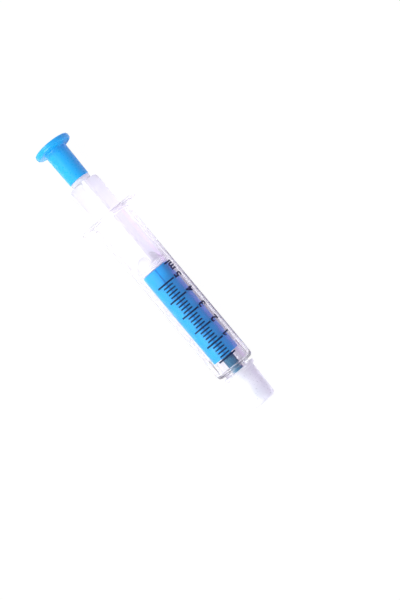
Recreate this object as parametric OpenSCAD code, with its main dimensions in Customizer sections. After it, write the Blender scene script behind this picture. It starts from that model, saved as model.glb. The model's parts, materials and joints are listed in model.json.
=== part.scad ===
// Syringe-shaped highlighter pen: a clear 5 ml barrel round a wrapped ink core, with a felt nib,
// a crossed plunger rod with a blue thumb press, and a frosted push-on cap.
// It lies on its side: +X runs along the axis to the cap, +Z is up, and the finger flange lies flat.
// The origin is at the middle of the length, on the surface that the pen lies on.

/* [Barrel] */
// Outside diameter of the barrel
barrel_od = 16; // [14:0.5:18]
// Bore, which also sets the pitch of the millilitre scale
bore_d = 13.5; // [13:0.1:14]
// Length from the back of the finger flange to the front shoulder
barrel_len = 74; // [70:0.1:80]
// Thickness of the front wall
front_wall = 1.2; // [1:0.1:2]
// Radius of the front shoulder
shoulder_r = 1.3; // [0.5:0.1:2]
// Width of the finger flange across its round ends
flange_span = 25.2; // [22:0.1:30]
// Height of the finger flange across its flats
flange_flats = 16.4; // [16.2:0.1:18]
// Thickness of the finger flange
flange_t = 1.3; // [1:0.1:2]
// How far the snap bead stands into the bore
bead_h = 0.2; // [0.1:0.05:0.25]

/* [Nose] */
// Diameter of the ring that the cap grips
nose_ring_d = 10.8; // [10:0.1:11]
// Length of that ring
nose_ring_len = 2.4; // [2:0.1:3]
// Diameter of the snout at its root
snout_root_d = 8.4; // [8:0.1:9]
// Diameter of the snout at its mouth
snout_mouth_d = 6.6; // [6.2:0.1:7]
// Length of the snout in front of the ring
snout_len = 7.6; // [6:0.1:9]

/* [Ink core and nib] */
// Outside diameter of the wrapped core
core_d = 11.5; // [10:0.1:12]
// Length of the core
core_len = 41.1; // [38:0.1:43]
// Thickness of the film round the core
film_t = 0.15; // [0.1:0.05:0.3]
// Width of the film's overlap along the top
overlap_w = 1.7; // [1:0.1:3]
// How far the overlap's free edge lies past the top, towards +Y
overlap_edge = 0.3; // [0:0.1:1]
// Diameter of the nib
nib_d = 4.7; // [4:0.1:5]
// How far the nib stands out of the snout
nib_reach = 5.2; // [4:0.1:5.3]
// How far the nib's shank goes into the core
nib_depth = 6; // [3:0.5:10]
// Thickness of the chisel edge
chisel_edge = 1; // [0.6:0.1:1.6]
// Slope of the chisel edge across the nib
chisel_slope = 20; // [15:1:35]

/* [Plunger] */
// Length of rod that shows behind the flange
rod_show = 15.5; // [10:0.1:20]
// Width of the crossed ribs from tip to tip
rib_w = 12.6; // [11:0.1:12.8]
// Thickness of each rib
rib_t = 1.2; // [0.8:0.1:1.6]
// How far the rod is turned in the barrel
rod_turn = 14; // [0:1:45]
// Diameter of the collar behind the ribs
collar_d = 8; // [7:0.1:8.4]
// Thickness of the collar
collar_t = 1.7; // [1:0.1:2]
// Diameter of the stub inside the thumb press
stub_d = 6.3; // [5:0.1:6.5]
// Length of the stub
stub_len = 12; // [8:0.5:13]
// Diameter of the discs at the rod's head
head_d = 12.8; // [12:0.1:12.9]
// Length of the flare from the ribs to the head
flare_len = 3.4; // [2:0.1:5]
// Outside diameter of the soft seal
seal_d = 13.4; // [13.3:0.02:13.42]
// Length of the soft seal
seal_len = 1.2; // [1:0.1:2]

/* [Thumb press] */
// Diameter of the thumb disc
thumb_d = 15.2; // [14:0.1:16.2]
// Thickness of the thumb disc
thumb_t = 2.4; // [1.4:0.1:3]
// Depth of the hollow in the thumb face
dish_h = 0.35; // [0.1:0.05:0.5]
// Diameter of the skirt beside the disc
skirt_d = 9; // [8.8:0.1:9.4]
// Diameter of the skirt at its open end
skirt_mouth_d = 8.5; // [8.4:0.1:8.8]
// Length of the skirt
skirt_len = 14.3; // [13:0.1:17]

/* [Cap] */
// Gap between the front shoulder and the cap's lip
cap_gap = 1.2; // [0.2:0.1:1.4]
// Diameter of the cap's lip
lip_d = 13.4; // [12.8:0.1:14]
// Length of the cap's lip
lip_len = 1.3; // [1.2:0.1:2.5]
// Diameter of the cap beside the lip
cap_root_d = 11.5; // [11.2:0.1:12]
// Diameter of the cap at its end
cap_end_d = 10.7; // [10.4:0.1:11.4]
// Length of the cap
cap_len = 15.3; // [15.3:0.1:18]
// Thickness of the cap's end wall
cap_end_wall = 0.9; // [0.6:0.1:1]
// Length of the seal ring inside the cap
cap_seal_len = 3.6; // [2:0.1:5]

/* [Hidden] */
$fn = 96;

// Running clearance of a turning or sliding fit, and the gap between two fixed faces
run_gap = 0.05;
rest_gap = 0.02;
// Extra length that carries a cut past a face
over = 1;

bore_r = bore_d / 2;
barrel_r = barrel_od / 2;
axis_h = flange_flats / 2;

// Stations along the axis, counted from the back of the finger flange
ring_end = barrel_len + nose_ring_len;
snout_end = ring_end + snout_len;
nib_end = snout_end + nib_reach;
cap_start = barrel_len + cap_gap;
cap_end = cap_start + cap_len;
collar_front = -rod_show;
collar_back = collar_front - collar_t;
thumb_back = collar_back - skirt_len - thumb_t;
chamber_end = barrel_len - front_wall;
chamber_len = 4.8;
core_front = chamber_end - chamber_len;
core_back = core_front - core_len;
mid_length = (thumb_back + cap_end) / 2;

// Rod head: a flare, the back disc, a neck for the seal, and the front disc against the core
front_disc_t = 0.5;
back_disc_t = 0.8;
neck_r = 4.6;
head_front = core_back - 0.3;
neck_front = head_front - front_disc_t;
neck_back = neck_front - seal_len - 2 * run_gap;
head_back = neck_back - back_disc_t;
flare_back = head_back - flare_len;
seal_waist = 0.25;

// Barrel details
bead_at = 1.1;
mouth_chamfer = 0.4;
flange_fillet = 0.8;
flange_fillet_h = (flange_flats / 2 - barrel_r) / 2;
flange_edge_r = 0.45;
nib_hole_r = nib_d / 2 + run_gap;
seat_rib_t = 0.7;
seat_rib_r = 4.9;
seat_rib_turns = [-90, 0, 90];
seat_pad_len = 2;
ring_edge = 0.35;

// Cap details
cap_fit_r = nose_ring_d / 2 + run_gap;
cap_step = ring_end + 0.15;
cap_bore_root_r = cap_root_d / 2 - 1;
cap_bore_end_r = cap_end_d / 2 - 1;
cap_edge_r = 1.2;
lip_edge_r = 0.5;
cap_seal_start = ring_end + 3.2;

// Places its children, which are drawn along +Z from the flange's back face, in the pen's frame
module on_axis(station = 0) {
    translate([station - mid_length, 0, axis_h])
        rotate([0, 90, 0])
            children();
}

// Solid of revolution between two stations with two radii
module turned(from, to, r_from, r_to) {
    translate([0, 0, from])
        cylinder(h = to - from, r1 = r_from, r2 = r_to);
}

// Half outline of a round bar whose far edge is rounded
module round_end_outline(r, len, edge) {
    square([r, len - edge]);
    square([r - edge, len]);
    translate([r - edge, len - edge])
        circle(r = edge);
}

// Round bar from station 0 with a rounded far edge
module round_end_bar(r, len, edge) {
    rotate_extrude()
        intersection() {
            round_end_outline(r, len, edge);
            square([r + over, len]);
        }
}

// Disc with a fully rounded or softened rim
module soft_disc(r, t, edge) {
    rotate_extrude() {
        square([r - edge, t]);
        translate([0, edge])
            square([r, t - 2 * edge]);
        translate([r - edge, edge])
            circle(r = edge);
        translate([r - edge, t - edge])
            circle(r = edge);
    }
}

// Finger flange: a round plate with two flats, top and bottom
module finger_flange() {
    intersection() {
        soft_disc(flange_span / 2, flange_t, flange_edge_r);
        cube([flange_flats, flange_span + over, 4 * flange_t], center = true);
    }
    turned(flange_t, flange_t + flange_fillet, barrel_r + flange_fillet_h, barrel_r);
}

// Nose: the ring that the cap grips, then the tapered snout
module nose() {
    turned(barrel_len - over, ring_end - ring_edge, nose_ring_d / 2, nose_ring_d / 2);
    turned(ring_end - ring_edge, ring_end, nose_ring_d / 2, nose_ring_d / 2 - ring_edge);
    turned(ring_end - over, snout_end, snout_root_d / 2, snout_mouth_d / 2);
}

// Ribs in the front chamber that the core rests between and stops against: one below, one each side
module seat_ribs() {
    for (turn = seat_rib_turns)
        rotate([0, 0, turn]) {
            translate([seat_rib_r, -seat_rib_t / 2, core_front + run_gap])
                cube([bore_r - seat_rib_r + seat_rib_t / 2, seat_rib_t, chamber_len]);
            translate([core_d / 2 + run_gap, -seat_rib_t / 2, core_front - seat_pad_len])
                cube([bore_r - core_d / 2 + seat_rib_t / 2, seat_rib_t, seat_pad_len + over]);
        }
}

// Small ridge inside the barrel's mouth that keeps the plunger in
module snap_bead() {
    translate([0, 0, bead_at])
        rotate_extrude()
            translate([bore_r, 0])
                circle(r = bead_h);
}

module barrel() {
    color("aliceblue", 0.4)
        on_axis()
            difference() {
                union() {
                    difference() {
                        union() {
                            round_end_bar(barrel_r, barrel_len, shoulder_r);
                            finger_flange();
                            nose();
                        }
                        turned(-over, chamber_end, bore_r, bore_r);
                        turned(-over, mouth_chamfer, bore_r + mouth_chamfer + over, bore_r);
                    }
                    snap_bead();
                    seat_ribs();
                }
                turned(core_front - over, snout_end + over, nib_hole_r, nib_hole_r);
            }
}

// Film wrapped round the core, with its overlap strip along the top
module core_sleeve() {
    film_r = core_d / 2 - film_t / 2;
    color("dodgerblue")
        on_axis(core_back)
            difference() {
                union() {
                    cylinder(h = core_len, r = film_r);
                    intersection() {
                        cylinder(h = core_len, r = core_d / 2);
                        translate([-core_d, overlap_edge - overlap_w, 0])
                            cube([core_d, overlap_w, core_len]);
                    }
                }
                turned(-over, core_len + over, film_r - film_t, film_r - film_t);
            }
}

// Fibre reservoir with the hole that the nib's shank fills
module ink_core() {
    fibre_r = core_d / 2 - 1.5 * film_t - rest_gap;
    color("royalblue")
        on_axis(core_back)
            difference() {
                cylinder(h = core_len, r = fibre_r);
                turned(core_len - nib_depth - rest_gap, core_len + over, nib_hole_r, nib_hole_r);
            }
}

// Round felt rod with two flanks cut to a wedge and a sloping edge across its end
module nib() {
    wedge_len = nib_reach - 0.6;
    flank = atan((nib_d - chisel_edge) / 2 / wedge_len);
    color("deepskyblue")
        on_axis()
            rotate([0, 0, 90])
                difference() {
                    turned(core_front - nib_depth, nib_end, nib_d / 2, nib_d / 2);
                    for (side = [-1, 1])
                        translate([0, side * chisel_edge / 2, nib_end])
                            rotate([side * flank, 0, 0])
                                translate([-nib_d, side > 0 ? 0 : -nib_d, -3 * wedge_len])
                                    cube([2 * nib_d, nib_d, 4 * wedge_len]);
                    translate([-nib_d / 2, -nib_d, nib_end])
                        rotate([0, chisel_slope, 0])
                            cube([2 * nib_d, 2 * nib_d, 2 * nib_d]);
                }
}

// Soft ring with two lips, on the neck of the rod's head
module piston_seal() {
    seal_r = seal_d / 2;
    hole_r = neck_r + run_gap;
    lip = seal_len / 4;
    color("whitesmoke", 0.6)
        on_axis(neck_back + run_gap)
            rotate_extrude()
                polygon([[hole_r, 0], [seal_r - lip / 2, 0], [seal_r, lip / 2], [seal_r, lip],
                         [seal_r - seal_waist, lip + seal_waist],
                         [seal_r - seal_waist, seal_len - lip - seal_waist],
                         [seal_r, seal_len - lip], [seal_r, seal_len - lip / 2],
                         [seal_r - lip / 2, seal_len], [hole_r, seal_len]]);
}

// Crossed ribs inside a round envelope, whose back corners are rounded
module rod_ribs() {
    rib_corner = 1.5;
    span = head_back - collar_front;
    translate([0, 0, head_back])
        mirror([0, 0, 1])
            intersection() {
                round_end_bar(rib_w / 2, span, rib_corner);
                for (turn = [0, 90])
                    rotate([0, 0, turn])
                        translate([-rib_w, -rib_t / 2, -over])
                            cube([2 * rib_w, rib_t, span + 2 * over]);
            }
}

// Hollow-sided flare that joins the ribs to the head
module rod_flare() {
    flare_r = 5;
    hollow_r = flare_len + 0.5;
    sink = back_disc_t / 2;
    translate([0, 0, flare_back])
        rotate_extrude()
            difference() {
                square([flare_r, flare_len + sink]);
                translate([flare_r, flare_len - hollow_r])
                    circle(r = hollow_r);
            }
}

module plunger_rod() {
    core_rod_r = 1.1;
    color("lavender", 0.5)
        on_axis()
            rotate([0, 0, -rod_turn]) {
                rod_ribs();
                rod_flare();
                turned(collar_front - over / 2, head_back + over / 2, core_rod_r, core_rod_r);
                turned(head_back, neck_back, head_d / 2, head_d / 2);
                turned(neck_back - over / 4, neck_front + over / 4, neck_r, neck_r);
                turned(neck_front, head_front, head_d / 2 - 0.4, head_d / 2 - 0.6);
                translate([0, 0, collar_back])
                    soft_disc(collar_d / 2, collar_t, 0.3);
                turned(collar_back - stub_len, collar_back + over / 2, stub_d / 2 - 0.3, stub_d / 2);
            }
}

// Thumb disc with a hollow face, and the skirt that takes the rod's stub
module thumb_cap() {
    dish_r = thumb_d / 2 - 1.6;
    dish_sphere_r = (dish_r * dish_r + dish_h * dish_h) / 2 / dish_h;
    socket_len = stub_len + 0.4;
    root_fillet = 0.5;
    color("deepskyblue")
        on_axis(thumb_back)
            difference() {
                union() {
                    soft_disc(thumb_d / 2, thumb_t, thumb_t * 0.42);
                    turned(thumb_t - over / 2, thumb_t + skirt_len - rest_gap, skirt_d / 2, skirt_mouth_d / 2);
                    turned(thumb_t, thumb_t + root_fillet, skirt_d / 2 + root_fillet, skirt_d / 2);
                }
                translate([0, 0, dish_h - dish_sphere_r])
                    sphere(r = dish_sphere_r);
                translate([0, 0, thumb_t + skirt_len - socket_len])
                    cylinder(h = socket_len + over, r = stub_d / 2 + rest_gap);
            }
}

// Frosted cap: a thick lip over the nose ring, then a tapered body with a rounded end
module cap_shell() {
    inner_end = cap_len - cap_end_wall;
    step = cap_step - cap_start;
    color("ghostwhite", 0.7)
        on_axis(cap_start)
            difference() {
                union() {
                    soft_disc(lip_d / 2, lip_len, lip_edge_r);
                    turned(lip_len - over / 2, cap_len - cap_edge_r, cap_root_d / 2, cap_end_d / 2);
                    translate([0, 0, cap_len - 2 * cap_edge_r])
                        round_end_bar(cap_end_d / 2, 2 * cap_edge_r, cap_edge_r);
                }
                turned(-over, step, cap_fit_r, cap_fit_r);
                turned(step - over / 2, inner_end, cap_bore_root_r, cap_bore_end_r);
            }
}

// Soft ring pressed into the cap, which closes on the snout
module cap_seal() {
    from = cap_seal_start - ring_end;
    to = from + cap_seal_len;
    snout_slope = (snout_root_d - snout_mouth_d) / 2 / (snout_len + over);
    bore_slope = (cap_bore_root_r - cap_bore_end_r) / (cap_len - cap_end_wall - cap_step + cap_start + over / 2);
    bore_from = cap_bore_root_r - bore_slope * (cap_seal_start - cap_step + over / 2) - rest_gap;
    snout_from = snout_root_d / 2 - snout_slope * (from + over) + run_gap;
    color("white", 0.8)
        on_axis(cap_seal_start)
            difference() {
                turned(0, cap_seal_len, bore_from, bore_from - bore_slope * cap_seal_len);
                turned(-over, cap_seal_len + over, snout_from + snout_slope * over,
                       snout_from - snout_slope * (to - from + over));
            }
}

barrel();
core_sleeve();
ink_core();
nib();
piston_seal();
plunger_rod();
thumb_cap();
cap_shell();
cap_seal();
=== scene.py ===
"""Looks of the syringe-shaped highlighter pen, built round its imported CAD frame.

The pen lies on a pale table, seen from straight above: clear barrel and plunger rod, blue wrapped ink
core, felt nib in a frosted cap, blue thumb press, and the printed 0 to 5 ml scale.
"""
import json
import math

import bmesh
import bpy
import numpy as np
from mathutils import Matrix, Vector


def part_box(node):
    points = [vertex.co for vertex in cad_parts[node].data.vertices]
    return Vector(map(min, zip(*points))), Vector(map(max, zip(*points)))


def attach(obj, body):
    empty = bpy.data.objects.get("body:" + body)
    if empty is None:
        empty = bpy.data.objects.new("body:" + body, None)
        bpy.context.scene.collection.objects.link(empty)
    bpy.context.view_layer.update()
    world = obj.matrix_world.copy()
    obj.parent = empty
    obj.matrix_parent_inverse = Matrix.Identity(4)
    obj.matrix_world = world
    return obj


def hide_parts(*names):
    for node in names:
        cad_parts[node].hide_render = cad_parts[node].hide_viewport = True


MM = 0.001
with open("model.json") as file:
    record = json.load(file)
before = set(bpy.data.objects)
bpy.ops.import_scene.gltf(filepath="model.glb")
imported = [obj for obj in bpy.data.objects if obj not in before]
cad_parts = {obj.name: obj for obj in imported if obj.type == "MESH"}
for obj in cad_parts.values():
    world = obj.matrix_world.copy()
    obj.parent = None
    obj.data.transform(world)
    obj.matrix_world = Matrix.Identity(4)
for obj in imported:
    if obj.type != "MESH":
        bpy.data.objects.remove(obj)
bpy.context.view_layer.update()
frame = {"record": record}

# ---------------------------------------------------------------- places, read from the frame
BARREL_LOW, BARREL_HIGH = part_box("barrel")
CORE_LOW, CORE_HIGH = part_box("core_sleeve")
NIB_LOW, NIB_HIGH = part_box("nib")
SEAL_LOW, SEAL_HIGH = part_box("piston_seal")
ROD_LOW, ROD_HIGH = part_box("plunger_rod")
THUMB_LOW, THUMB_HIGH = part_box("thumb_cap")
CAP_LOW, CAP_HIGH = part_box("cap_shell")
CAP_SEAL_LOW, CAP_SEAL_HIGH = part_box("cap_seal")

AXIS_Z = (BARREL_LOW.z + BARREL_HIGH.z) / 2
FLANGE_BACK = BARREL_LOW.x
SNOUT_END = BARREL_HIGH.x
CORE_BACK, CORE_FRONT = CORE_LOW.x, CORE_HIGH.x
GRIP = next(m for m in frame["record"]["mounts"] if m["name"] == "barrel_grip")
BARREL_R = GRIP["dims"]["r_mm"] * MM
BORE_R = (SEAL_HIGH.z - SEAL_LOW.z) / 2 + 0.05 * MM

# Details of the mouldings that a box doesn't give, as in the CAD model
FLANGE_T = 1.3 * MM
SHOULDER_X = FLANGE_BACK + 74 * MM
FRONT_WALL = 1.2 * MM
NOSE_RING_R = 5.4 * MM
NOSE_RING_LEN = 2.4 * MM
SNOUT_ROOT_R = 4.1 * MM
SNOUT_MOUTH_R = 3.3 * MM
NIB_R = 2.35 * MM
NIB_HOLE_R = 2.4 * MM
STUB_R = 3.15 * MM
COLLAR_R = 4 * MM
COLLAR_T = 1.7 * MM
RIB_HALF_W = 6.3 * MM
RIB_HALF_T = 0.6 * MM
ROD_TURN = math.radians(14)
SEAM_Y = 0.3 * MM
SMOOTH = 160


# ---------------------------------------------------------------- mesh tools
def rounded(corners, closed=True, steps=6):
    """Points of an outline of (x, r, fillet) corners, with a true arc of that radius at each corner.

    Where two corners are too near for their arcs, the arcs are shortened to meet between them.
    """
    points, count = [], len(corners)
    for i, (x, r, fillet) in enumerate(corners):
        corner = np.array((x, r), float)
        at_end = not closed and i in (0, count - 1)
        if fillet <= 0 or at_end:
            points.append(corner)
            continue
        back = np.array(corners[i - 1][:2], float) - corner
        ahead = np.array(corners[(i + 1) % count][:2], float) - corner
        len_back, len_ahead = np.linalg.norm(back), np.linalg.norm(ahead)
        back, ahead = back / len_back, ahead / len_ahead
        half = math.acos(np.clip(back @ ahead, -1, 1)) / 2
        reach = min(fillet / math.tan(half), 0.49 * min(len_back, len_ahead))
        for k in range(steps + 1):
            t = k / steps
            weights = ((1 - t) ** 2, 2 * t * (1 - t) * math.sin(half), t * t)
            knots = (corner + back * reach, corner, corner + ahead * reach)
            points.append(sum(w * p for w, p in zip(weights, knots)) / sum(weights))
    return points


def new_piece(name, points, faces, body, slot, replaces=()):
    """A smooth mesh piece that rides on a CAD body, takes its slot's material and may stand for CAD nodes."""
    mesh = bpy.data.meshes.new(name)
    mesh.from_pydata([tuple(p) for p in points], [], faces)
    mesh.validate()
    piece = bpy.data.objects.new(name, mesh)
    bpy.context.scene.collection.objects.link(piece)
    dress(piece, body, slot, replaces)
    return piece


def dress(piece, body, slot, replaces=()):
    """Shades a piece smooth, gives it its slot's material and ties it to its CAD body."""
    piece.data.shade_smooth()
    piece.data.materials.clear()
    piece.data.materials.append(MATERIALS[slot])
    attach(piece, body)
    if replaces:
        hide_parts(*replaces)


def weigh_normals(piece):
    """Flat faces stay flat beside their small fillets."""
    modifier = piece.modifiers.new("even_shading", "WEIGHTED_NORMAL")
    modifier.keep_sharp = True
    modifier.weight = 100


def revolve_mesh(outline, closed=True, segments=SMOOTH):
    """Points and faces of a solid of revolution about the pen's axis.

    outline is a list of (x, r) points or a function of the angle that returns one. An open outline starts
    and ends on the axis.
    """
    points, faces = [], []
    for j in range(segments):
        angle = 2 * math.pi * j / segments
        ring = outline(angle) if callable(outline) else outline
        points += [(x, r * math.cos(angle), AXIS_Z + r * math.sin(angle)) for x, r in ring]
    count = len(ring)
    for j in range(segments):
        here, after = j * count, (j + 1) % segments * count
        for i in range(count if closed else count - 1):
            k = (i + 1) % count
            if not closed and i == 0:
                faces.append((0, here + k, after + k))
            elif not closed and k == count - 1:
                faces.append((here + i, k, after + i))
            else:
                faces.append((here + i, here + k, after + k, after + i))
    return points, faces


def loft_mesh(rings):
    """Points and faces of a solid skinned over closed rings of equal length, with flat ends."""
    count = len(rings[0])
    points = [p for ring in rings for p in ring]
    faces = [tuple(range(count - 1, -1, -1)), tuple(range(len(points) - count, len(points)))]
    for j in range(len(rings) - 1):
        here, after = j * count, (j + 1) * count
        for i in range(count):
            k = (i + 1) % count
            faces.append((here + i, here + k, after + k, after + i))
    return points, faces


def fuse(piece, others):
    """Joins other solids to piece as one closed skin, and removes them."""
    for other in others:
        modifier = piece.modifiers.new("join", "BOOLEAN")
        modifier.operation = "UNION"
        modifier.solver = "EXACT"
        modifier.object = other
    graph = bpy.context.evaluated_depsgraph_get()
    joined = bpy.data.meshes.new_from_object(piece.evaluated_get(graph))
    piece.modifiers.clear()
    old, name = piece.data, piece.data.name
    piece.data = joined
    bpy.data.meshes.remove(old)
    joined.name = name
    for other in others:
        bpy.data.objects.remove(other)


def loose_solid(points, faces):
    """A helper solid for fuse()."""
    mesh = bpy.data.meshes.new("helper")
    mesh.from_pydata([tuple(p) for p in points], [], faces)
    helper = bpy.data.objects.new("helper", mesh)
    bpy.context.scene.collection.objects.link(helper)
    return helper


def outward(piece):
    """Turns every face outwards."""
    work = bmesh.new()
    work.from_mesh(piece.data)
    bmesh.ops.recalc_face_normals(work, faces=work.faces)
    work.to_mesh(piece.data)
    work.free()


# ---------------------------------------------------------------- materials
class Nodes:
    """A short way to build a node tree."""

    def __init__(self, name):
        self.material = bpy.data.materials.new(name)
        self.material.use_nodes = True
        self.tree = self.material.node_tree
        self.tree.nodes.clear()
        self.output = self.tree.nodes.new("ShaderNodeOutputMaterial")

    def add(self, kind, **settings):
        node = self.tree.nodes.new("ShaderNode" + kind)
        for key, value in settings.items():
            setattr(node, key, value)
        return node

    def link(self, source, target):
        self.tree.links.new(source, target)

    def surface(self, shader):
        self.link(shader, self.output.inputs["Surface"])
        return self.material

    def places(self, stretch=(1, 1, 1)):
        """Object coordinates in millimetres, stretched."""
        coordinates = self.add("TexCoord")
        mapping = self.add("Mapping")
        mapping.inputs["Scale"].default_value = [1000 * s for s in stretch]
        self.link(coordinates.outputs["Object"], mapping.inputs["Vector"])
        return mapping.outputs["Vector"]

    def noise(self, scale, stretch=(1, 1, 1), detail=3, roughness=0.5):
        node = self.add("TexNoise")
        node.inputs["Scale"].default_value = scale
        node.inputs["Detail"].default_value = detail
        node.inputs["Roughness"].default_value = roughness
        self.link(self.places(stretch), node.inputs["Vector"])
        return node.outputs["Fac"]

    def spread(self, value, low, high):
        """Maps a noise value, mostly between 0.3 and 0.7, to a range."""
        node = self.add("MapRange")
        node.inputs["From Min"].default_value = 0.3
        node.inputs["From Max"].default_value = 0.7
        node.inputs["To Min"].default_value = low
        node.inputs["To Max"].default_value = high
        self.link(value, node.inputs["Value"])
        return node.outputs["Result"]

    def along(self, start, end, low, high):
        """A value that goes smoothly from low to high as the place along the pen goes from start to end."""
        coordinates = self.add("TexCoord")
        split = self.add("SeparateXYZ")
        node = self.add("MapRange", interpolation_type="SMOOTHSTEP")
        node.inputs["From Min"].default_value = start
        node.inputs["From Max"].default_value = end
        node.inputs["To Min"].default_value = low
        node.inputs["To Max"].default_value = high
        self.link(coordinates.outputs["Object"], split.inputs[0])
        self.link(split.outputs["X"], node.inputs["Value"])
        return node.outputs["Result"]

    def across(self, start, end):
        """1 on a narrow line along the pen, between two places across it, and 0 elsewhere."""
        coordinates = self.add("TexCoord")
        split = self.add("SeparateXYZ")
        self.link(coordinates.outputs["Object"], split.inputs[0])
        near = self.add("Math", operation="COMPARE")
        near.inputs[1].default_value = (start + end) / 2
        near.inputs[2].default_value = (end - start) / 2
        top = self.add("Math", operation="GREATER_THAN")
        top.inputs[1].default_value = AXIS_Z
        both = self.add("Math", operation="MULTIPLY")
        self.link(split.outputs["Y"], near.inputs[0])
        self.link(split.outputs["Z"], top.inputs[0])
        self.link(near.outputs[0], both.inputs[0])
        self.link(top.outputs[0], both.inputs[1])
        return both.outputs[0]

    def total(self, first, second):
        node = self.add("Math", operation="ADD")
        self.link(first, node.inputs[0])
        self.link(second, node.inputs[1])
        return node.outputs[0]

    def blend_colours(self, value, first, second):
        node = self.add("Mix", data_type="RGBA")
        node.inputs["A"].default_value = (*first, 1)
        node.inputs["B"].default_value = (*second, 1)
        self.link(value, node.inputs["Factor"])
        return node.outputs["Result"]

    def bump(self, value, height, strength=1.0):
        """A bump of the given height in millimetres."""
        node = self.add("Bump")
        node.inputs["Strength"].default_value = strength
        node.inputs["Distance"].default_value = height * MM
        self.link(value, node.inputs["Height"])
        return node.outputs["Normal"]

    def principled(self, **values):
        node = self.add("BsdfPrincipled")
        for key, value in values.items():
            node.inputs[key.replace("_", " ")].default_value = value
        return node

    def milky(self, shader, share, colour):
        """Mixes in light that shines through and is spread on its way."""
        milk = self.add("BsdfTranslucent")
        milk.inputs["Color"].default_value = (*colour, 1)
        mix = self.add("MixShader")
        mix.inputs[0].default_value = share
        self.link(shader, mix.inputs[1])
        self.link(milk.outputs[0], mix.inputs[2])
        return mix.outputs[0]

    def lamps_pass(self, shader, tint):
        """Lets lamp light straight through a clear wall, so that what is inside is lit cleanly."""
        path = self.add("LightPath")
        clear = self.add("BsdfTransparent")
        clear.inputs["Color"].default_value = (*tint, 1)
        mix = self.add("MixShader")
        self.link(path.outputs["Is Shadow Ray"], mix.inputs[0])
        self.link(shader, mix.inputs[1])
        self.link(clear.outputs[0], mix.inputs[2])
        return mix.outputs[0]


MILK = (0.92, 0.915, 0.955)


def clear_plastic(name, colour, tint, clarity, roughness, wave, satin=(), milk=0):
    """Clear moulded plastic with faint flow waves and slightly uneven gloss.

    satin lists the stretches along the pen where the mould has a fine grain: (start, end, low, high). milk
    is the share of light that the plastic spreads.
    """
    n = Nodes(name)
    shader = n.principled(IOR=1.5, Transmission_Weight=clarity, Base_Color=(*colour, 1))
    gloss = n.spread(n.noise(0.25), *roughness)
    for stretch in satin:
        gloss = n.total(gloss, n.along(*stretch))
    n.link(gloss, shader.inputs["Roughness"])
    flow = n.noise(0.22, stretch=(0.35, 1, 1), detail=2)
    n.link(n.bump(flow, wave), shader.inputs["Normal"])
    body = n.milky(shader.outputs[0], milk, MILK) if milk else shader.outputs[0]
    return n.surface(n.lamps_pass(body, tint))


def blue_plastic():
    """Glossy moulded blue with a fine skin and a soft glow at thin places."""
    n = Nodes("blue_plastic")
    shader = n.principled(Subsurface_Weight=0.25, Subsurface_Scale=0.0015, Coat_Weight=0.2,
                          Coat_Roughness=0.12, IOR=1.49)
    shader.inputs["Subsurface Radius"].default_value = (0.2, 0.6, 1.0)
    n.link(n.blend_colours(n.noise(0.35, detail=4), (0.008, 0.43, 0.90), (0.014, 0.485, 0.96)),
           shader.inputs["Base Color"])
    n.link(n.spread(n.noise(1.4, detail=5), 0.24, 0.36), shader.inputs["Roughness"])
    n.link(n.bump(n.noise(9, detail=4), 0.004), shader.inputs["Normal"])
    return n.surface(shader.outputs[0])


def blue_film():
    """Thin coloured film, glossy, with the streaks of its extrusion along the core."""
    n = Nodes("blue_film")
    shader = n.principled(Coat_Weight=0.1, Coat_Roughness=0.2, IOR=1.33)
    streaks = n.noise(1.2, stretch=(0.03, 1, 1), detail=4)
    film = n.blend_colours(streaks, (0.002, 0.295, 0.69), (0.004, 0.37, 0.83))
    # Darker line at the overlap strip's +Y edge. It is partly the deeper colour of the doubled film at its
    # joint, and partly painted shade that stands in for the shadow of the strip's step.
    seam_and_step_shade = n.add("Mix", data_type="RGBA", blend_type="MULTIPLY")
    seam_and_step_shade.inputs["B"].default_value = (0.35, 0.55, 0.75, 1)
    n.link(n.across(SEAM_Y - 0.5 * MM, SEAM_Y), seam_and_step_shade.inputs["Factor"])
    n.link(film, seam_and_step_shade.inputs["A"])
    n.link(seam_and_step_shade.outputs["Result"], shader.inputs["Base Color"])
    n.link(n.spread(n.noise(0.8, stretch=(0.2, 1, 1)), 0.28, 0.42), shader.inputs["Roughness"])
    n.link(n.bump(streaks, 0.01), shader.inputs["Normal"])
    return n.surface(shader.outputs[0])


def fibres(name, dark, light, stretch, grain, height):
    """A bundle of fibres: streaked colour, fuzzy sheen and a ribbed surface."""
    n = Nodes(name)
    shader = n.principled(Roughness=0.85, Sheen_Weight=0.35, Sheen_Roughness=0.5)
    strands = n.noise(grain, stretch=stretch, detail=6, roughness=0.65)
    n.link(n.blend_colours(n.spread(strands, 0, 1), dark, light), shader.inputs["Base Color"])
    n.link(n.bump(strands, height), shader.inputs["Normal"])
    return n.surface(shader.outputs[0])


def frosted_plastic():
    """Milky see-through plastic with a fine matt grain."""
    n = Nodes("frosted_cap")
    shader = n.principled(IOR=1.5, Transmission_Weight=0.5, Base_Color=(0.92, 0.92, 0.945, 1))
    n.link(n.spread(n.noise(2.5, detail=5), 0.26, 0.36), shader.inputs["Roughness"])
    n.link(n.bump(n.noise(5, detail=2), 0.001), shader.inputs["Normal"])
    return n.surface(n.lamps_pass(n.milky(shader.outputs[0], 0.25, (0.93, 0.955, 0.985)), (0.97, 0.97, 0.98)))


def soft_rubber():
    """Translucent silicone with a satin skin."""
    n = Nodes("soft_seal")
    shader = n.principled(IOR=1.42, Transmission_Weight=0.85, Base_Color=(0.97, 0.97, 0.98, 1))
    n.link(n.spread(n.noise(3, detail=3), 0.18, 0.3), shader.inputs["Roughness"])
    n.link(n.bump(n.noise(8), 0.002), shader.inputs["Normal"])
    return n.surface(n.lamps_pass(n.milky(shader.outputs[0], 0.35, (0.97, 0.965, 0.99)), (0.98, 0.98, 0.99)))


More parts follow.
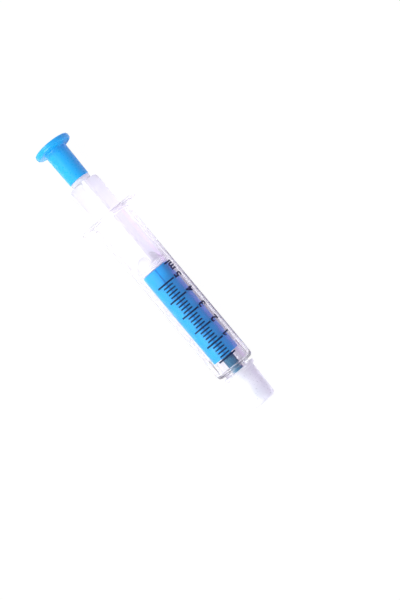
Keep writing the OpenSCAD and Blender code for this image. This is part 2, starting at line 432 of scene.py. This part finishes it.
def print_ink():
    """Dark printed ink, a little uneven."""
    n = Nodes("print_ink")
    shader = n.principled(IOR=1.3)
    patches = n.noise(4, detail=4)
    n.link(n.blend_colours(patches, (0.005, 0.014, 0.055), (0.012, 0.028, 0.090)),
           shader.inputs["Base Color"])
    n.link(n.spread(patches, 0.3, 0.5), shader.inputs["Roughness"])
    n.link(n.bump(patches, 0.004), shader.inputs["Normal"])
    return n.surface(shader.outputs[0])


MATERIALS = {
    "clear_barrel": clear_plastic("clear_barrel", (0.975, 0.97, 0.985), (0.97, 0.97, 0.985), 1.0,
                                  (0.015, 0.05), 0.012, satin=(
                                      (FLANGE_BACK + 1.4 * MM, FLANGE_BACK + 2.6 * MM, 0.55, 0),
                                      (SHOULDER_X - 1.6 * MM, SHOULDER_X - 0.4 * MM, 0, 0.2))),
    "clear_rod": clear_plastic("clear_rod", (0.89, 0.895, 0.92), (0.97, 0.97, 0.98), 0.42,
                               (0.12, 0.2), 0.02, milk=0.12),
    "blue_plastic": blue_plastic(),
    "blue_film": blue_film(),
    "inked_fibre": fibres("inked_fibre", (0.002, 0.10, 0.42), (0.01, 0.22, 0.62), (0.05, 1, 1), 5, 0.05),
    "inked_felt": fibres("inked_felt", (0.004, 0.06, 0.15), (0.012, 0.18, 0.30), (0.12, 1, 1), 4, 0.08),
    "frosted_cap": frosted_plastic(),
    "soft_seal": soft_rubber(),
    "print_ink": print_ink(),
}


# ---------------------------------------------------------------- barrel side
def flange_radius(angle):
    """The finger flange's reach: a round plate with two flats, its corners eased."""
    round_r = BARREL_HIGH.y
    flat_r = (BARREL_HIGH.z - AXIS_Z) / max(abs(math.sin(angle)), 1e-6)
    sharpness = 26
    return (round_r ** -sharpness + flat_r ** -sharpness) ** (-1 / sharpness)


def barrel_outline(angle):
    """The barrel's wall cut along the axis, from the flange round the nose and back up the bore."""
    x, reach = FLANGE_BACK, flange_radius(angle)
    wall_in = SHOULDER_X - FRONT_WALL
    ring_end = SHOULDER_X + NOSE_RING_LEN
    lead_in = 0.4 * MM
    bead_back, bead_top, bead_front, bead_h = 0.8 * MM, 1.1 * MM, 1.4 * MM, 0.2 * MM
    return rounded([
        (x, BORE_R + lead_in, 0.15 * MM),
        (x, reach, 0.5 * MM),
        (x + FLANGE_T, reach, 0.5 * MM),
        (x + FLANGE_T, BARREL_R, 0.6 * MM),
        (SHOULDER_X, BARREL_R, 1.3 * MM),
        (SHOULDER_X, NOSE_RING_R, 0.25 * MM),
        (ring_end, NOSE_RING_R, 0.35 * MM),
        (ring_end, SNOUT_ROOT_R, 0.2 * MM),
        (SNOUT_END, SNOUT_MOUTH_R, 0.35 * MM),
        (SNOUT_END, NIB_HOLE_R, 0.15 * MM),
        (wall_in, NIB_HOLE_R, 0.15 * MM),
        (wall_in, BORE_R, 0.5 * MM),
        (x + bead_front, BORE_R, 0.1 * MM),
        (x + bead_top, BORE_R - bead_h, 0.1 * MM),
        (x + bead_back, BORE_R, 0.1 * MM),
        (x + lead_in, BORE_R, 0.1 * MM),
    ])


def seat_rib(angle):
    """One of the thin ribs in the front chamber that hold the core, at an angle from the top."""
    half_t, pad, gap = 0.35 * MM, 2 * MM, 0.05 * MM
    inner, outer = 4.9 * MM, BORE_R + 0.35 * MM
    core_r = (CORE_HIGH.z - CORE_LOW.z) / 2 + gap
    front = SHOULDER_X - FRONT_WALL / 2
    step = CORE_FRONT + gap
    side = [(CORE_FRONT - pad, core_r), (step, core_r), (step, inner), (front, inner),
            (front, outer), (CORE_FRONT - pad, outer)]
    turn = Matrix.Rotation(angle, 3, "X")
    rings = [[turn @ Vector((x, t, r)) + Vector((0, 0, AXIS_Z)) for x, r in side] for t in (-half_t, half_t)]
    return loose_solid(*loft_mesh(rings))


def build_barrel():
    """The barrel with its flange and nose, and the seat ribs at its sides and below."""
    points, faces = revolve_mesh(barrel_outline)
    barrel = new_piece("clear_barrel", points, faces, "barrel", "clear_barrel", ["barrel"])
    outward(barrel)
    ribs = [seat_rib(math.radians(angle)) for angle in (90, 180, 270)]
    for rib in ribs:
        outward(rib)
    fuse(barrel, ribs)
    dress(barrel, "barrel", "clear_barrel")
    weigh_normals(barrel)


def build_core():
    """The film with its overlap strip, and the fibre bundle inside it."""
    film_t, overlap_t = 0.15 * MM, 0.075 * MM
    outer = (CORE_HIGH.z - CORE_LOW.z) / 2 - overlap_t / 2
    overlap = (math.radians(87), math.radians(104))

    def film_outline(angle):
        lifted = overlap[0] <= angle <= overlap[1]
        r = outer + (overlap_t if lifted else 0)
        inner = outer - film_t
        edge = 0.04 * MM
        return rounded([(CORE_BACK, inner, edge), (CORE_BACK, r, edge), (CORE_FRONT, r, edge),
                        (CORE_FRONT, inner, edge)], steps=2)

    points, faces = revolve_mesh(film_outline, segments=2 * SMOOTH)
    film = new_piece("core_film", points, faces, "barrel", "blue_film", ["core_sleeve"])
    weigh_normals(film)

    inner, hole = outer - film_t - 0.02 * MM, NIB_HOLE_R
    hole_back = NIB_LOW.x - 0.05 * MM
    outline = rounded([
        (CORE_BACK, 0, 0), (CORE_BACK, inner, 0.3 * MM), (CORE_FRONT, inner, 0.4 * MM),
        (CORE_FRONT, hole, 0.2 * MM), (hole_back, hole, 0.1 * MM), (hole_back, 0, 0)], closed=False)
    points, faces = revolve_mesh(outline, closed=False)
    fibre = new_piece("ink_fibre", points, faces, "barrel", "inked_fibre", ["ink_core"])
    weigh_normals(fibre)


def build_nib():
    """Felt nib: a round shank that thins to a sloping chisel edge."""
    shank_end = SNOUT_END + 0.6 * MM
    slope = math.tan(math.radians(20))
    tip_half_t, edge_r = 0.5 * MM, 0.35 * MM
    softness, thinnest = 8, 0.15
    around, steps = 72, 14

    def ring(share, shrink=0.0):
        """share runs from the shank's end to the chisel edge; shrink rounds the edge off."""
        half_t = NIB_R + (tip_half_t - NIB_R) * share
        out = []
        for i in range(around):
            angle = 2 * math.pi * i / around
            y, z = NIB_R * math.cos(angle), NIB_R * math.sin(angle)
            if half_t < NIB_R:
                z = z / (1 + abs(z / half_t) ** softness) ** (1 / softness)
            scale_y = 1 - shrink / NIB_R
            scale_z = 1 - shrink / max(half_t, shrink + 1e-6)
            y, z = y * scale_y, z * max(scale_z, thinnest)
            reach = NIB_HIGH.x - (y + NIB_R) * slope
            x = shank_end + (reach - shank_end) * share
            out.append((x, y, AXIS_Z + z))
        return out

    shank = (NIB_LOW.x, NIB_LOW.x + 0.1 * MM, (NIB_LOW.x + shank_end) / 2, shank_end - 0.2 * MM)
    rings = [[(x, y, z) for _, y, z in ring(0)] for x in shank]
    edge_share = edge_r / (NIB_HIGH.x - shank_end)
    rings += [ring(k / steps * (1 - edge_share)) for k in range(steps + 1)]
    rings += [ring(1 - edge_share * (1 - math.sin(a)), edge_r * (1 - math.cos(a)))
              for a in np.linspace(0, math.pi / 2, 6)[1:]]
    points, faces = loft_mesh(rings)
    nib = new_piece("felt_nib", points, faces, "barrel", "inked_felt", ["nib"])
    outward(nib)
    weigh_normals(nib)


# ---------------------------------------------------------------- printed scale
INK_LOW = BARREL_R + 0.004 * MM
INK_HIGH = BARREL_R + 0.03 * MM
MILLILITRES = 5
ML_PITCH = 1000 / (math.pi * (BORE_R / MM) ** 2) * MM
ZERO_MARK = CORE_FRONT + 0.5 * MM
LONG_MARK = math.radians(27.5)
SHORT_MARK = math.radians(15)
MARK_W = 0.6 * MM
DIGIT_BASE = math.radians(56)
DIGIT_H = 3.5 * MM
DIGIT_SQUEEZE = 0.84
UNIT_GAP = 4.3 * MM
PARTS_PER_ML = 5
LONG_SHARE, SHORT_SHARE = 1.1, 0.95


def on_barrel(x, lean, r):
    """A point on the barrel; lean is the angle from the top towards +Y."""
    return (x, r * math.sin(lean), AXIS_Z + r * math.cos(lean))


def scale_mark(index):
    """One graduation: a thin curved bar of ink across the top of the barrel."""
    long = index % PARTS_PER_ML == 0
    half_angle = LONG_MARK if long else SHORT_MARK
    half_w = MARK_W / 2 * (LONG_SHARE if long else SHORT_SHARE)
    x = ZERO_MARK - index * ML_PITCH / PARTS_PER_ML
    rings = []
    for lean in np.linspace(-half_angle, half_angle, 25):
        rings.append([on_barrel(x - half_w, lean, INK_LOW), on_barrel(x - half_w, lean, INK_HIGH),
                      on_barrel(x + half_w, lean, INK_HIGH), on_barrel(x + half_w, lean, INK_LOW)])
    return loft_mesh(rings)


def plain_one():
    """A 1 with a short flag, as a flat face of the digits' height."""
    stem, flag = 0.10 * DIGIT_H, 0.30 * DIGIT_H
    outline = [(-stem, 0), (stem, 0), (stem, DIGIT_H), (-stem / 2, DIGIT_H), (-flag - stem, 0.80 * DIGIT_H),
               (-flag - stem, 0.62 * DIGIT_H), (-stem, 0.76 * DIGIT_H)]
    flat = bpy.data.meshes.new("digit")
    flat.from_pydata([(x, y, 0) for x, y in outline], [], [tuple(range(len(outline)))])
    return flat


def typed(text):
    """Text in a plain face, as a flat mesh of the digits' height."""
    digit_share, boldness = 0.72, 0.045
    curve = bpy.data.curves.new("digit", "FONT")
    curve.body = text
    curve.size = DIGIT_H / digit_share
    curve.align_x = "CENTER"
    curve.offset = boldness * DIGIT_H
    curve.resolution_u = 6
    stand_in = bpy.data.objects.new("digit", curve)
    bpy.context.scene.collection.objects.link(stand_in)
    flat = bpy.data.meshes.new_from_object(stand_in.evaluated_get(bpy.context.evaluated_depsgraph_get()))
    bpy.data.objects.remove(stand_in)
    return flat


def lettering(text, centre_x):
    """Plain digits or letters, wrapped on the barrel beside the marks."""
    flat = plain_one() if text == "1" else typed(text)
    across = [v.co.x for v in flat.vertices]
    centre_x += (min(across) + max(across)) / 2 * DIGIT_SQUEEZE

    def wrapped(v, r):
        return on_barrel(centre_x - v.co.x * DIGIT_SQUEEZE, DIGIT_BASE - v.co.y / BARREL_R, r)

    work = bmesh.new()
    work.from_mesh(flat)
    bmesh.ops.triangulate(work, faces=work.faces)
    bmesh.ops.subdivide_edges(work, edges=work.edges, cuts=2, use_grid_fill=True)
    bmesh.ops.triangulate(work, faces=work.faces)
    low = {v: work.verts.new(wrapped(v, INK_LOW)) for v in list(work.verts)}
    rims = [e for e in work.edges if len(e.link_faces) == 1]
    for face in list(work.faces):
        work.faces.new([low[v] for v in reversed(face.verts)])
    for edge in rims:
        a, b = edge.verts
        work.faces.new([a, b, low[b], low[a]])
    for v in low:
        v.co = wrapped(v, INK_HIGH)
    bmesh.ops.recalc_face_normals(work, faces=work.faces)
    work.to_mesh(flat)
    work.free()
    points = [tuple(v.co) for v in flat.vertices]
    faces = [tuple(p.vertices) for p in flat.polygons]
    bpy.data.meshes.remove(flat)
    return points, faces


def merged(parts):
    """Several (points, faces) as one."""
    points, faces = [], []
    for part_points, part_faces in parts:
        start = len(points)
        points += part_points
        faces += [tuple(start + i for i in face) for face in part_faces]
    return points, faces


def build_scale():
    """All the marks as one piece, and each number and the unit as a piece of its own."""
    marks = merged([scale_mark(i) for i in range(MILLILITRES * PARTS_PER_ML + 1)])
    piece = new_piece("scale_marks", *marks, "barrel", "print_ink")
    outward(piece)
    weigh_normals(piece)
    for value in range(1, MILLILITRES + 1):
        digit = new_piece(f"scale_digit_{value}", *lettering(str(value), ZERO_MARK - value * ML_PITCH),
                          "barrel", "print_ink")
        weigh_normals(digit)
    unit_x = ZERO_MARK - MILLILITRES * ML_PITCH - UNIT_GAP
    weigh_normals(new_piece("scale_unit", *lettering("ml", unit_x), "barrel", "print_ink"))


# ---------------------------------------------------------------- plunger
def rod_section(x, half_w):
    """The crossed ribs' outline at one place along the rod, turned with the rod."""
    tip, root = 0.22 * MM, 0.5 * MM
    quarter = [(half_w, RIB_HALF_T, tip), (RIB_HALF_T, RIB_HALF_T, root), (RIB_HALF_T, half_w, tip)]
    corners = []
    for k in range(4):
        c, s = round(math.cos(k * math.pi / 2)), round(math.sin(k * math.pi / 2))
        corners += [(y * c - z * s, y * s + z * c, f) for y, z, f in quarter]
    turn = -ROD_TURN
    c, s = math.cos(turn), math.sin(turn)
    return [(x, y * c - z * s, AXIS_Z + y * s + z * c) for y, z in rounded(corners, steps=5)]


def build_rod():
    """Crossed ribs with a collar and stub behind, and a flared head with the seal's neck in front."""
    collar_front = FLANGE_BACK - 15.5 * MM
    collar_back = collar_front - COLLAR_T
    head_front = ROD_HIGH.x
    front_disc, back_disc = 0.5 * MM, 0.8 * MM
    neck_front = head_front - front_disc
    neck_back = SEAL_LOW.x - 0.05 * MM
    head_back = neck_back - back_disc
    flare_len, flare_arc, flare_sweep, flare_r = 3.4 * MM, 3.9 * MM, math.radians(61), 5.0 * MM
    head_r, neck_r = 6.4 * MM, 4.6 * MM
    corner = 1.5 * MM

    rings = [rod_section(collar_front + corner * (1 - math.cos(a)), RIB_HALF_W - corner * (1 - math.sin(a)))
             for a in np.linspace(0.02, math.pi / 2, 9)]
    straight = np.linspace(collar_front + corner, head_back + 0.3 * MM, 40)
    rings += [rod_section(x, RIB_HALF_W) for x in straight[1:]]
    points, faces = loft_mesh(rings)
    rod = new_piece("clear_rod", points, faces, "plunger", "clear_rod", ["plunger_rod"])
    outward(rod)

    back = rounded([
        (ROD_LOW.x, 0, 0), (ROD_LOW.x, STUB_R - 0.3 * MM, 0.4 * MM), (collar_back, STUB_R, 0.1 * MM),
        (collar_back, COLLAR_R, 0.3 * MM), (collar_front, COLLAR_R, 0.3 * MM),
        (collar_front, 1.6 * MM, 0.5 * MM), (collar_front + 1.2 * MM, 0, 0)], closed=False)
    flare = [(head_back - flare_arc * math.sin(a), flare_r - flare_arc * (1 - math.cos(a)))
             for a in np.linspace(flare_sweep, 0, 12)]
    front = [(head_back - flare_len - 1 * MM, 0), *flare,
             *rounded([(head_back, 5.3 * MM, 0), (head_back, head_r, 0.2 * MM), (neck_back, head_r, 0.2 * MM),
                       (neck_back, neck_r, 0.1 * MM), (neck_front, neck_r, 0.1 * MM),
                       (neck_front, head_r - 0.4 * MM, 0.15 * MM), (head_front, head_r - 0.6 * MM, 0.2 * MM),
                       (head_front, 0, 0)], closed=False)]
    others = [loose_solid(*revolve_mesh(back, closed=False)), loose_solid(*revolve_mesh(front, closed=False))]
    for other in others:
        outward(other)
    fuse(rod, others)
    dress(rod, "plunger", "clear_rod")
    weigh_normals(rod)


def build_seal():
    """Soft ring with two lips on the rod's neck."""
    low, high = SEAL_LOW.x, SEAL_HIGH.x
    r, hole = (SEAL_HIGH.z - SEAL_LOW.z) / 2, 4.65 * MM
    mid, waist = (low + high) / 2, 0.3 * MM
    outline = rounded([(low, hole, 0.1 * MM), (low, r - 0.12 * MM, 0.1 * MM), (low + 0.3 * MM, r, 0.15 * MM),
                       (mid, r - waist, 0.25 * MM), (high - 0.3 * MM, r, 0.15 * MM),
                       (high, r - 0.12 * MM, 0.1 * MM), (high, hole, 0.1 * MM)])
    points, faces = revolve_mesh(outline)
    weigh_normals(new_piece("soft_piston_ring", points, faces, "seal", "soft_seal", ["piston_seal"]))


def build_thumb_press():
    """Thumb disc with a hollow face, and its skirt."""
    r = (THUMB_HIGH.z - THUMB_LOW.z) / 2
    disc_t, dish, socket_len = 2.4 * MM, 0.35 * MM, 12.4 * MM
    root_r, mouth_r, socket_r = 4.5 * MM, 4.25 * MM, STUB_R + 0.03 * MM
    x = THUMB_LOW.x
    dish_r, steps = r - 1.5 * MM, 8
    hollow = [(x + dish * (1 - (k / steps) ** 2), dish_r * k / steps) for k in range(steps + 1)]
    rim = rounded([(x, dish_r, 0), (x, r, 1.05 * MM), (x + disc_t, r, 1.1 * MM),
                   (x + disc_t, root_r, 0.7 * MM), (THUMB_HIGH.x, mouth_r, 0.25 * MM),
                   (THUMB_HIGH.x, socket_r, 0.15 * MM), (THUMB_HIGH.x - socket_len, socket_r, 0.3 * MM),
                   (THUMB_HIGH.x - socket_len, 0, 0)], closed=False, steps=8)
    points, faces = revolve_mesh(hollow[:-1] + rim, closed=False)
    press = new_piece("thumb_press", points, faces, "plunger", "blue_plastic", ["thumb_cap"])
    weigh_normals(press)


# ---------------------------------------------------------------- cap
def build_cap():
    """The frosted cap with its lip, and the soft ring inside it that closes on the snout."""
    x, end = CAP_LOW.x, CAP_HIGH.x
    lip_r, lip_len = (CAP_HIGH.z - CAP_LOW.z) / 2, 1.3 * MM
    root_r, end_r, wall, end_wall = 5.75 * MM, 5.35 * MM, 1 * MM, 0.9 * MM
    fit_r = NOSE_RING_R + 0.05 * MM
    step = SHOULDER_X + NOSE_RING_LEN + 0.15 * MM
    outline = rounded([
        (x, fit_r, 0.2 * MM), (x, lip_r, 0.5 * MM), (x + lip_len, lip_r, 0.5 * MM),
        (x + lip_len, root_r, 0.35 * MM), (end, end_r, 1.5 * MM), (end, 0, 0)], closed=False, steps=8)
    inside = rounded([
        (end - end_wall, 0, 0), (end - end_wall, end_r - wall, 0.8 * MM),
        (step, root_r - wall, 0.2 * MM), (step, fit_r, 0.1 * MM), (x, fit_r, 0.2 * MM)], closed=False)
    points, faces = revolve_mesh(inside[:-1] + outline, closed=False)
    cap = new_piece("frosted_cap", points, faces, "cap", "frosted_cap", ["cap_shell"])
    outward(cap)
    weigh_normals(cap)

    low, high = CAP_SEAL_LOW.x, CAP_SEAL_HIGH.x
    slope = (SNOUT_ROOT_R - SNOUT_MOUTH_R) / (SNOUT_END - SHOULDER_X - NOSE_RING_LEN)

    def snout_r(at):
        return SNOUT_ROOT_R - slope * (at - SHOULDER_X - NOSE_RING_LEN) + 0.08 * MM

    outer = (CAP_SEAL_HIGH.z - CAP_SEAL_LOW.z) / 2
    edge = 0.15 * MM
    ring = rounded([(low, snout_r(low), edge), (low, outer, edge), (high, outer - 0.1 * MM, edge),
                    (high, snout_r(high), edge)])
    points, faces = revolve_mesh(ring)
    weigh_normals(new_piece("cap_inner_seal", points, faces, "cap", "soft_seal", ["cap_seal"]))


# ---------------------------------------------------------------- studio
CAMERA_HEIGHT = 390 * MM
VIEW_LENGTH = 224.1 * MM
AXIS_TURN = math.radians(50.1)
AIM_X = FLANGE_BACK + 46.15 * MM
AIM_Y = 5.7 * MM
LIGHT_DISTANCE = 0.7
KEY_SIZE = 0.36


def build_camera():
    """Straight above the pen, turned so that the pen runs from the upper left to the lower right."""
    lens = bpy.data.cameras.new("camera")
    lens.sensor_width = 36
    lens.lens = lens.sensor_width * CAMERA_HEIGHT / VIEW_LENGTH
    lens.clip_start, lens.clip_end = 0.01, 10
    camera = bpy.data.objects.new("camera", lens)
    camera.location = (AIM_X, AIM_Y, AXIS_Z + CAMERA_HEIGHT)
    camera.rotation_euler = (0, 0, AXIS_TURN)
    bpy.context.scene.collection.objects.link(camera)
    bpy.context.scene.camera = camera


def soft_light(name, direction, size, power, colour=(1.0, 1.0, 1.0)):
    """A round soft light that faces the pen's middle."""
    light = bpy.data.lights.new(name, "AREA")
    light.shape = "DISK"
    light.size = size
    light.energy = power
    light.color = colour
    lamp = bpy.data.objects.new(name, light)
    towards = Vector(direction).normalized()
    lamp.location = towards * LIGHT_DISTANCE
    lamp.rotation_mode = "QUATERNION"
    lamp.rotation_quaternion = towards.to_track_quat("Z", "Y")
    lamp.visible_camera = False
    bpy.context.scene.collection.objects.link(lamp)


def build_world():
    """White light from the -Y side, lilac from the +Y side, and a plain pale backdrop for the camera."""
    world = bpy.data.worlds.new("studio")
    world.use_nodes = True
    tree = world.node_tree
    background = tree.nodes["Background"]
    place = tree.nodes.new("ShaderNodeTexCoord")
    across = tree.nodes.new("ShaderNodeVectorMath")
    across.operation = "DOT_PRODUCT"
    across.inputs[1].default_value = (0.1, 0.97, -0.2)
    ramp = tree.nodes.new("ShaderNodeValToRGB")
    stops = ramp.color_ramp.elements
    stops[0].position, stops[0].color = 0.15, (0.97, 0.97, 0.98, 1)
    stops[1].position, stops[1].color = 0.85, (0.62, 0.49, 0.74, 1)
    overhead = stops.new(0.42)
    overhead.color = (0.58, 0.56, 0.64, 1)
    shift = tree.nodes.new("ShaderNodeMapRange")
    shift.inputs["From Min"].default_value = -1
    tree.links.new(place.outputs["Generated"], across.inputs[0])
    tree.links.new(across.outputs["Value"], shift.inputs["Value"])
    tree.links.new(shift.outputs["Result"], ramp.inputs["Fac"])
    tree.links.new(ramp.outputs["Color"], background.inputs["Color"])
    background.inputs["Strength"].default_value = 0.75
    backdrop = tree.nodes.new("ShaderNodeBackground")
    backdrop.inputs["Color"].default_value = (0.80, 0.80, 0.82, 1)
    path = tree.nodes.new("ShaderNodeLightPath")
    mix = tree.nodes.new("ShaderNodeMixShader")
    tree.links.new(path.outputs["Is Camera Ray"], mix.inputs[0])
    tree.links.new(background.outputs[0], mix.inputs[1])
    tree.links.new(backdrop.outputs[0], mix.inputs[2])
    tree.links.new(mix.outputs[0], tree.nodes["World Output"].inputs["Surface"])
    bpy.context.scene.world = world


def build_floor():
    """A pale table top that looks evenly lit to the camera and lights the pen as paper does."""
    mesh = bpy.data.meshes.new("table_top")
    half, drop = 1.5, -0.05 * MM
    glow_strength, camera_share = 1.02, 0.97
    corners = [(-half, -half, drop), (half, -half, drop), (half, half, drop), (-half, half, drop)]
    mesh.from_pydata(corners, [], [(0, 1, 2, 3)])
    floor = bpy.data.objects.new("table_top", mesh)
    bpy.context.scene.collection.objects.link(floor)
    n = Nodes("table_top")
    paper = n.principled(Roughness=0.8)
    n.link(n.blend_colours(n.noise(0.05), (0.90, 0.90, 0.91), (0.92, 0.92, 0.93)), paper.inputs["Base Color"])
    glow = n.add("Emission")
    glow.inputs["Strength"].default_value = glow_strength
    path = n.add("LightPath")
    share = n.add("Math", operation="MULTIPLY")
    share.inputs[1].default_value = camera_share
    n.link(path.outputs["Is Camera Ray"], share.inputs[0])
    mix = n.add("MixShader")
    n.link(share.outputs[0], mix.inputs[0])
    n.link(paper.outputs[0], mix.inputs[1])
    n.link(glow.outputs[0], mix.inputs[2])
    mesh.materials.append(n.surface(mix.outputs[0]))


def build_studio():
    build_camera()
    build_world()
    build_floor()
    soft_light("key_ahead", (0.5, -0.62, 0.8), KEY_SIZE, 2.8)
    soft_light("key_behind", (-0.72, -0.62, 0.8), KEY_SIZE, 1.7)
    soft_light("violet_glow", (0.0, 1.0, 0.18), 0.3, 0.24, (0.80, 0.22, 1.0))
    scene = bpy.context.scene
    scene.view_settings.view_transform = "Standard"
    scene.cycles.max_bounces = 20
    scene.cycles.transmission_bounces = 20
    scene.cycles.transparent_max_bounces = 24


build_barrel()
build_core()
build_nib()
build_scale()
build_rod()
build_seal()
build_thumb_press()
build_cap()
build_studio()
